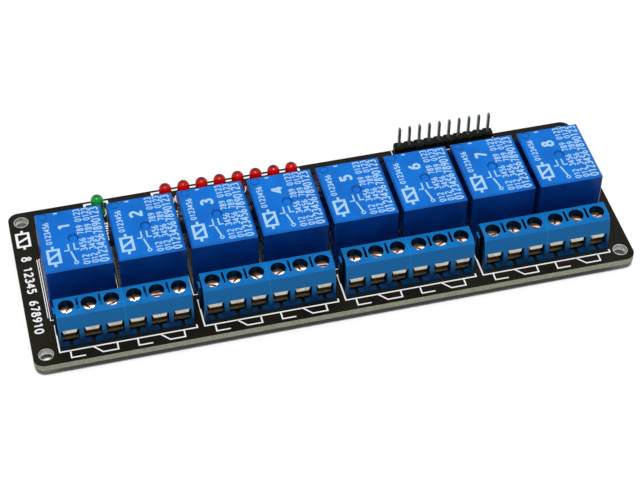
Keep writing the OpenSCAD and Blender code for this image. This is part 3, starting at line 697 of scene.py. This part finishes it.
# a darker ring on the top round the ejector's mark and another round the gate's dimple: painted shade of
# their rims
place = place_on(tree)
first, pitch = relay_boxes[0][0][0] - 0.5, relay_boxes[1][0][0] - relay_boxes[0][0][0]
across = maths(tree, "MODULO", maths(tree, "SUBTRACT", place.outputs["X"], first * MM), pitch * MM)
for (x, y), radius, strength in ((ejector_at, ejector_ring, 0.4), (gate_at, gate_ring, 0.75)):
    side = maths(tree, "SUBTRACT", across, (0.5 + x) * MM)
    back = maths(tree, "SUBTRACT", place.outputs["Y"], (relay_back - y) * MM)
    squares = maths(tree, "ADD", maths(tree, "POWER", side, 2.0), maths(tree, "POWER", back, 2.0))
    away = maths(tree, "SQRT", squares)
    off = maths(tree, "ABSOLUTE", maths(tree, "SUBTRACT", away, radius * MM))
    painted_rim_shade = maths(tree, "MULTIPLY", ramp(tree, off, 0.00032, 0.0001), frosted_and_lit_top)
    body = tinge(tree, body, painted_rim_shade, strength, case_side_shade)
# the paler blue along the case's convex edges is a painted highlight
tree.links.new(tinge(tree, body, edge_wear_and_highlight.outputs["Edge"], 0.55, case_edge), shader.inputs["Base Color"])
matt = ramp(tree, dull.outputs["Smear"], 0, 1, 0.44, 0.58, "LINEAR")
gloss = ramp(tree, dull.outputs["Smear"], 0, 1, 0.16, 0.34, "LINEAR")
dulled = node(tree, "Mix", data_type="FLOAT", Factor=frosted_and_lit_top, A=gloss, B=matt).outputs[0]
tree.links.new(dulled, shader.inputs["Roughness"])
pebbled(tree, shader, marks, 0.35, 0.000015)
dress(eight("relay"), relay_case)


def relay_marks(lo, hi, number):
    """The bars of ink on the top of the relay between two corners: columns of figures, its own number and two
    plain circuit symbols."""
    face, corner = hi[2], np.array([lo[0], hi[1]])
    read, tops = (0, 1), (-1, 0)

    def spot(x, y):
        """A place on the relay's top, x from its left side and y from its back."""
        return corner + (x, -y)

    # three columns of figures, the right one the largest
    bars = figures("01234567890123", spot(14.55, 18.3), read, tops, 2.0, 0.34, face, print_rise, 1.26)
    bars += figures("012 3456 789 0123", spot(12.3, 18.2), read, tops, 1.5, 0.27, face, print_rise, 1.04)
    bars += figures("012 3456 789 0123", spot(10.4, 18.2), read, tops, 1.5, 0.27, face, print_rise, 1.04)
    # a run of small figures along the left side, and the relay's own number
    bars += figures("0123456", spot(2.9, 10.4), read, tops, 1.3, 0.27, face, print_rise, 1.02)
    bars += figures(str(number), spot(7.6, 6.4), read, tops, 2.7, 0.64, face, print_rise, 2.4)
    # coil symbol, box and slash, with its two leads
    bars.append(outline(*spot(1.5, 16.4), *spot(4.0, 12.4), 0.62, face, print_rise))
    bars.append(ribbon([spot(1.6, 15.3), spot(3.9, 13.5)], 0.62, face, print_rise))
    bars.append(ribbon([spot(2.75, 17.6), spot(2.75, 16.7)], 0.62, face, print_rise))
    bars.append(ribbon([spot(2.75, 12.1), spot(2.75, 11.2)], 0.62, face, print_rise))
    # changeover contact: an arm on its pivot, between two fixed points
    bars.append(ribbon([spot(7.4, 16.9), spot(6.6, 13.6)], 0.4, face, print_rise))
    bars.append(ribbon(arc(*spot(7.4, 17.3), 0.42, 0.42, 90, 449, 13), 0.28, face, print_rise))
    bars.append(ribbon([spot(5.2, 13.2), spot(6.3, 13.2), spot(6.3, 11.2)], 0.34, face, print_rise))
    bars.append(ribbon([spot(8.6, 13.2), spot(7.6, 13.2), spot(7.6, 11.2)], 0.34, face, print_rise))
    # a short bar at the back
    bars.append(ribbon([spot(4.4, 1.0), spot(5.3, 1.0)], 0.4, face, print_rise))
    return bars


ink = []
for number, (lo, hi) in enumerate(relay_boxes, 1):
    ink += relay_marks(lo, hi, number)

relay_ink, tree, shader = finish("relay_ink")
marks = use(tree, skin, Pebble_Scale=7000.0, Drift_Scale=700.0)
thin = ramp(tree, marks.outputs["Pebble"], 0.45, 0.7)
tree.links.new(tinge(tree, print_pale, thin, 0.45, print_faint), shader.inputs["Base Color"])
roughen(tree, shader, marks.outputs["Drift"], 0.4, 0.6)
pebbled(tree, shader, marks, 0.3, 0.00001)
add_piece("relay_print", joined("relay_print", layered(ink)), relay_ink)

# ---------------------------------------------------------------------------
# Pins, leads and solder. Tinned copper, cut off square under the board, each in
# a small cone of solder that wets it and its ring.
# ---------------------------------------------------------------------------
solder_bright = (0.70, 0.70, 0.69, 1)
solder_grey = (0.46, 0.465, 0.46, 1)
flux_brown = (0.36, 0.27, 0.13, 1)

dress(["relay_pins", "led_leads", "transistor_leads", "diode_caps", "resistor_ends"], tin)

solder, tree, shader = finish("solder", Metallic=1.0)
marks = use(tree, skin, Pebble_Scale=1800.0, Drift_Scale=500.0)
flux = use(tree, smear, Patch_Scale=260.0)
body = blend(tree, marks.outputs["Drift"], solder_grey, solder_bright)
tree.links.new(tinge(tree, body, flux.outputs["Smear"], 0.35, flux_brown), shader.inputs["Base Color"])
roughen(tree, shader, flux.outputs["Smear"], 0.2, 0.42)
pebbled(tree, shader, marks, 0.5, 0.00005)
dress(["solder_joints"], solder)

# ---------------------------------------------------------------------------
# Screw terminals. Blocks moulded in blue nylon with a spark-eroded skin, paler
# where their thin edges catch light, keyed together by dovetails.
# ---------------------------------------------------------------------------
block_blue = (0.003, 0.165, 0.50, 1)
block_deep = (0.002, 0.125, 0.40, 1)
# the front and foot colours are darker copies of the block's blue: painted shade
block_front_shade = (0.002, 0.11, 0.315, 1)
block_foot_shade = (0.001, 0.022, 0.075, 1)
block_edge_highlight = (0.03, 0.33, 0.76, 1)
block_dusty = (0.008, 0.17, 0.46, 1)
well_shade = (0.0005, 0.009, 0.02, 1)
foot_heights = (0.003, 0.0066)
top_heights = (0.0075, 0.0085)

well_row = terminal_y
block_plastic, tree, shader = finish(
    "block_plastic", IOR=1.53, Specular_IOR_Level=0.1, Subsurface_Weight=0.06, Subsurface_Scale=0.001,
)
shader.inputs["Subsurface Radius"].default_value = (0.1, 0.4, 1.0)
marks = use(tree, skin, Pebble_Scale=4200.0, Drift_Scale=160.0)
dull = use(tree, smear, Patch_Scale=150.0)
edge_wear_and_highlight = use(tree, edge, Width=0.00028)
facing = facing_up(tree)
place = place_on(tree)
# the fronts take a darker blue than the tops, and darker still towards the foot: painted shade
upper = blend(tree, marks.outputs["Drift"], block_blue, block_deep)
lower = blend(tree, ramp(tree, place.outputs["Z"], *foot_heights), block_foot_shade, block_front_shade)
on_top = maths(tree, "MULTIPLY", ramp(tree, facing, 0.35, 0.75), ramp(tree, place.outputs["Z"], *top_heights))
body = blend(tree, on_top, lower, upper)
body = tinge(tree, body, dull.outputs["Smear"], 0.12, block_dusty)
# the walls of the wells, between the two rims, take a near black: painted shade, with less specular there too
from_well = maths(tree, "ABSOLUTE", maths(tree, "SUBTRACT", place.outputs["Y"], well_row * MM))
inside = maths(tree, "MULTIPLY", ramp(tree, from_well, 0.0021, 0.0017), ramp(tree, facing, 0.3, 0.1))
body = tinge(tree, body, inside, 0.96, well_shade)
tree.links.new(ramp(tree, inside, 0, 1, 0.1, 0.0, "LINEAR"), shader.inputs["Specular IOR Level"])
# the paler blue along the edges, stronger higher up, is a painted highlight
highlight_rising = ramp(tree, place.outputs["Z"], 0.003, 0.0085, 0.05, 0.65)
thin = maths(tree, "MULTIPLY", edge_wear_and_highlight.outputs["Edge"], highlight_rising)
tree.links.new(blend(tree, thin, body, block_edge_highlight), shader.inputs["Base Color"])
roughen(tree, shader, dull.outputs["Smear"], 0.34, 0.5)
pebbled(tree, shader, marks, 0.5, 0.00003)
dress(eight("terminal_housing"), block_plastic)

# ---------------------------------------------------------------------------
# Terminal metal. Contacts and wire leaves are pressed from tinned brass strip;
# the cheese-head screws are steel with a pinkish passivated zinc, scuffed by drivers.
# ---------------------------------------------------------------------------
leaf_cream = (0.86, 0.81, 0.66, 1)
leaf_shade = (0.60, 0.52, 0.38, 1)
leaf_underside_shade = (0.30, 0.20, 0.10, 1)
contact_tan = (0.50, 0.40, 0.24, 1)
contact_brown = (0.30, 0.21, 0.11, 1)
screw_pink = (0.95, 0.64, 0.50, 1)
screw_dark = (0.10, 0.045, 0.02, 1)
crown_fall = 360.0
crown_back = 0.72

brushed, takes, gives = effect("brushed", {"Lines Scale": 1.0}, ["Line", "Stain"])
place = node(brushed, "TexCoord").outputs["Object"]
drawn = node(brushed, "Mapping", Vector=place, Scale=(14000.0, 1200.0, 1200.0))
lines = node(
    brushed, "TexNoise", Vector=drawn.outputs["Vector"], Scale=takes.outputs["Lines Scale"], Detail=2.0
)
stain = node(brushed, "TexNoise", Vector=place, Scale=900.0, Detail=4.0, Roughness=0.6)
brushed.links.new(lines.outputs["Fac"], gives.inputs["Line"])
brushed.links.new(ramp(brushed, stain.outputs["Fac"], 0.4, 0.68), gives.inputs["Stain"])


def strip_metal(name, bright, dark, smooth, rough, metallic=1.0, under=None, crown=None):
    """A metal with drawn lines, stains that darken it, and bright worn edges. Faces that look down take the
    colour given as under, which is painted shade, and a low metallic stands for a matt plating. A crown gives
    the row, in millimetres, over which faces are rounded, by a fall that grows with the square of the
    distance."""
    made, tree, shader = finish(name, Metallic=metallic)
    grain = use(tree, brushed)
    edge_wear_and_highlight = use(tree, edge, Width=0.00012)
    body = tinge(tree, bright, grain.outputs["Stain"], 0.8, dark)
    body = tinge(tree, body, edge_wear_and_highlight.outputs["Edge"], 0.7, bright)
    # faces that look down take the under colour: painted shade
    if under:
        body = blend(tree, ramp(tree, facing_up(tree), -0.05, -0.35), body, under)
    tree.links.new(body, shader.inputs["Base Color"])
    roughen(tree, shader, grain.outputs["Stain"], smooth, rough)
    bump = node(tree, "Bump", Strength=0.35, Distance=0.00001, Height=grain.outputs["Line"])
    if crown is not None:
        place = place_on(tree).outputs["Y"]
        fall = maths(tree, "POWER", maths(tree, "ABSOLUTE", maths(tree, "SUBTRACT", place, crown * MM)), 2.0)
        height = maths(tree, "MULTIPLY", fall, -crown_fall)
        dome = node(tree, "Bump", Strength=1.0, Distance=1.0, Height=height)
        tree.links.new(dome.outputs["Normal"], bump.inputs["Normal"])
    tree.links.new(bump.outputs["Normal"], shader.inputs["Normal"])
    return made


tinned_strip = strip_metal("tinned_strip", contact_tan, contact_brown, 0.35, 0.5, 0.6)
leaf_metal = strip_metal("leaf_metal", leaf_cream, leaf_shade, 0.28, 0.42, 0.45, leaf_underside_shade)
screw_metal = strip_metal("screw_metal", screw_pink, screw_dark, 0.2, 0.4, 0.93, crown=well_row + crown_back)
dress(eight("terminal_contacts"), tinned_strip)
dress(["wire_leaves"], leaf_metal)
dress(["terminal_screws"], screw_metal)

# ---------------------------------------------------------------------------
# Pin header. A strip of black glass-filled nylon with ten square pins pressed
# through it, drawn from brass wire and tinned.
# ---------------------------------------------------------------------------
strip_black = (0.003, 0.004, 0.0025, 1)
strip_grey = (0.007, 0.0075, 0.005, 1)
strip_worn = (0.05, 0.052, 0.045, 1)
pin_bright = (0.30, 0.37, 0.32, 1)
pin_dark = (0.12, 0.16, 0.13, 1)

header_plastic, tree, shader = finish("header_plastic", IOR=1.53, Specular_IOR_Level=0.06)
marks = use(tree, skin, Pebble_Scale=3800.0, Drift_Scale=350.0)
edge_wear_and_highlight = use(tree, edge, Width=0.00015)
body = blend(tree, marks.outputs["Drift"], strip_black, strip_grey)
tree.links.new(tinge(tree, body, edge_wear_and_highlight.outputs["Edge"], 0.2, strip_worn), shader.inputs["Base Color"])
roughen(tree, shader, marks.outputs["Drift"], 0.36, 0.52)
pebbled(tree, shader, marks, 0.5, 0.00003)
dress(["header_body"], header_plastic)
header_metal = strip_metal("header_metal", pin_bright, pin_dark, 0.22, 0.4, 0.5)
dress(["header_pins"], header_metal)

# ---------------------------------------------------------------------------
# Lamps. Tinted epoxy cast round a lead frame: a post with a small cup for the
# die, and an anvil beside it, both of which show dimly through the lens.
# ---------------------------------------------------------------------------
post_wide = 0.3
cup_wide = 0.62
frame_foot = 0.35
frame_neck = 2.4
shade_side = (0.0, 0.6, 0.8)
# the third tint of each lamp, given as shade, is painted shade on the back and top of the dome
red_tints = (0.84, 0.0005, 0.0005, 1), (0.62, 0.0003, 0.0005, 1), (0.13, 0.0003, 0.003, 1)
green_tints = (0.012, 0.44, 0.05, 1), (0.006, 0.32, 0.035, 1), (0.004, 0.14, 0.025, 1)


def lens(name, colour, deep, shade):
    """Tinted clear epoxy: deeper in drifts, polished, with faint mould ripple. The back of the dome takes the
    colour given as shade, as painted shade."""
    made, tree, shader = finish(
        name, IOR=1.22, Transmission_Weight=0.25, Specular_IOR_Level=0.1,
        Coat_Weight=0.38, Coat_Roughness=0.25,
    )
    marks = use(tree, skin, Pebble_Scale=900.0, Drift_Scale=420.0)
    tint = blend(tree, marks.outputs["Drift"], colour, deep)
    leans = node(tree, "VectorMath", operation="DOT_PRODUCT", Vector=node(tree, "TexCoord").outputs["Normal"])
    leans.inputs[1].default_value = shade_side
    tree.links.new(
        blend(tree, ramp(tree, leans.outputs["Value"], 0.4, 0.88), tint, shade), shader.inputs["Base Color"]
    )
    roughen(tree, shader, marks.outputs["Drift"], 0.04, 0.1)
    pebbled(tree, shader, marks, 0.12, 0.00004)
    return made


dress(eight("red_led"), lens("red_epoxy", *red_tints))
dress(["green_led"], lens("green_epoxy", *green_tints))

frames = []
for lo, hi in lamp_boxes:
    x, y = (lo[0] + hi[0]) / 2, (lo[1] + hi[1]) / 2
    foot, neck = lo[2] + frame_foot, lo[2] + frame_neck
    wall = cup_wide / 2
    cup = [(0.02, neck - 0.6), (wall, neck - 0.25), (wall, neck + 0.3), (wall - 0.08, neck + 0.3),
           (0.12, neck), (0.02, neck)]
    frames.append(turned((x - 0.45, y), cup, 20))
    frames.append(ribbon([(x - 0.9, y), (x - 0.45, y)], post_wide, foot, neck - foot - 0.3))
    frames.append(ribbon([(x + 0.25, y), (x + 1.0, y)], post_wide, foot, neck - foot + 0.3))
add_piece("lamp_frames", joined("lamp_frames", frames), tin)

# ---------------------------------------------------------------------------
# Driver parts. Black epoxy transistors marked with a number and a bar, orange
# glass diodes with a black cathode band, and chip resistors with a glazed top.
# ---------------------------------------------------------------------------
epoxy_black = (0.014, 0.0135, 0.013, 1)
epoxy_grey = (0.026, 0.025, 0.024, 1)
epoxy_worn = (0.10, 0.10, 0.095, 1)
glass_orange = (0.58, 0.12, 0.03, 1)
glass_deep = (0.40, 0.07, 0.02, 1)
band_black = (0.012, 0.012, 0.013, 1)
band_from = 0.0008
glaze_black = (0.012, 0.012, 0.013, 1)
ceramic_white = (0.62, 0.61, 0.57, 1)
ceramic_grey = (0.52, 0.51, 0.47, 1)
glaze_deep = (0.022, 0.021, 0.02, 1)
mark_rise = 0.01

epoxy, tree, shader = finish("epoxy", IOR=1.5)
marks = use(tree, skin, Pebble_Scale=4500.0, Drift_Scale=800.0)
edge_wear_and_highlight = use(tree, edge, Width=0.00012)
body = blend(tree, marks.outputs["Drift"], epoxy_black, epoxy_grey)
tree.links.new(tinge(tree, body, edge_wear_and_highlight.outputs["Edge"], 0.5, epoxy_worn), shader.inputs["Base Color"])
roughen(tree, shader, marks.outputs["Drift"], 0.5, 0.65)
pebbled(tree, shader, marks, 0.6, 0.00003)
dress(["transistor_bodies"], epoxy)

glass, tree, shader = finish("orange_glass", IOR=1.52, Transmission_Weight=0.25)
marks = use(tree, skin, Pebble_Scale=2200.0, Drift_Scale=900.0)
along = place_on(tree).outputs["X"]
pitch = (relay_middles[1] - relay_middles[0]) * MM
phase = node(tree, "Math", operation="WRAP")
tree.links.new(maths(tree, "SUBTRACT", along, relay_middles[0] * MM), phase.inputs[0])
phase.inputs[1].default_value, phase.inputs[2].default_value = pitch / 2, -pitch / 2
past = maths(tree, "ABSOLUTE", maths(tree, "ADD", phase.outputs[0], band_from))
band = ramp(tree, past, 0.00028, 0.00022)
body = blend(tree, marks.outputs["Drift"], glass_orange, glass_deep)
tree.links.new(blend(tree, band, body, band_black), shader.inputs["Base Color"])
roughen(tree, shader, band, 0.08, 0.4)
pebbled(tree, shader, marks, 0.15, 0.00003)
dress(["diode_bodies"], glass)

ceramic, tree, shader = finish("ceramic", IOR=1.6)
marks = use(tree, skin, Pebble_Scale=5200.0, Drift_Scale=1200.0)
glazed = ramp(tree, facing_up(tree), 0.5, 0.7)
white = blend(tree, marks.outputs["Drift"], ceramic_white, ceramic_grey)
black = blend(tree, marks.outputs["Drift"], glaze_black, glaze_deep)
tree.links.new(blend(tree, glazed, white, black), shader.inputs["Base Color"])
roughen(tree, shader, glazed, 0.6, 0.22)
pebbled(tree, shader, marks, 0.3, 0.00002)
dress(["resistor_bodies"], ceramic)

body_lo, body_hi = box_mm("transistor_bodies")
chip_top = box_mm("resistor_bodies")[1][2]
driver_y = (body_lo[1] + body_hi[1]) / 2
marks_on = []
for k, x in enumerate(relay_middles):
    number_at, bar_y, code_at = (x - 0.9, driver_y - 0.3), driver_y - 0.05, (x + 4.24, driver_y - 0.55)
    marks_on += figures(str(k + 1), number_at, (1, 0), (0, 1), 0.62, 0.11, body_hi[2], mark_rise)
    marks_on.append(ribbon([(x - 0.1, bar_y), (x + 1.0, bar_y)], 0.14, body_hi[2], mark_rise))
    marks_on += figures("102", code_at, (0, 1), (-1, 0), 0.5, 0.08, chip_top, mark_rise)
add_piece("chip_marks", joined("chip_marks", layered(marks_on)), legend_ink)
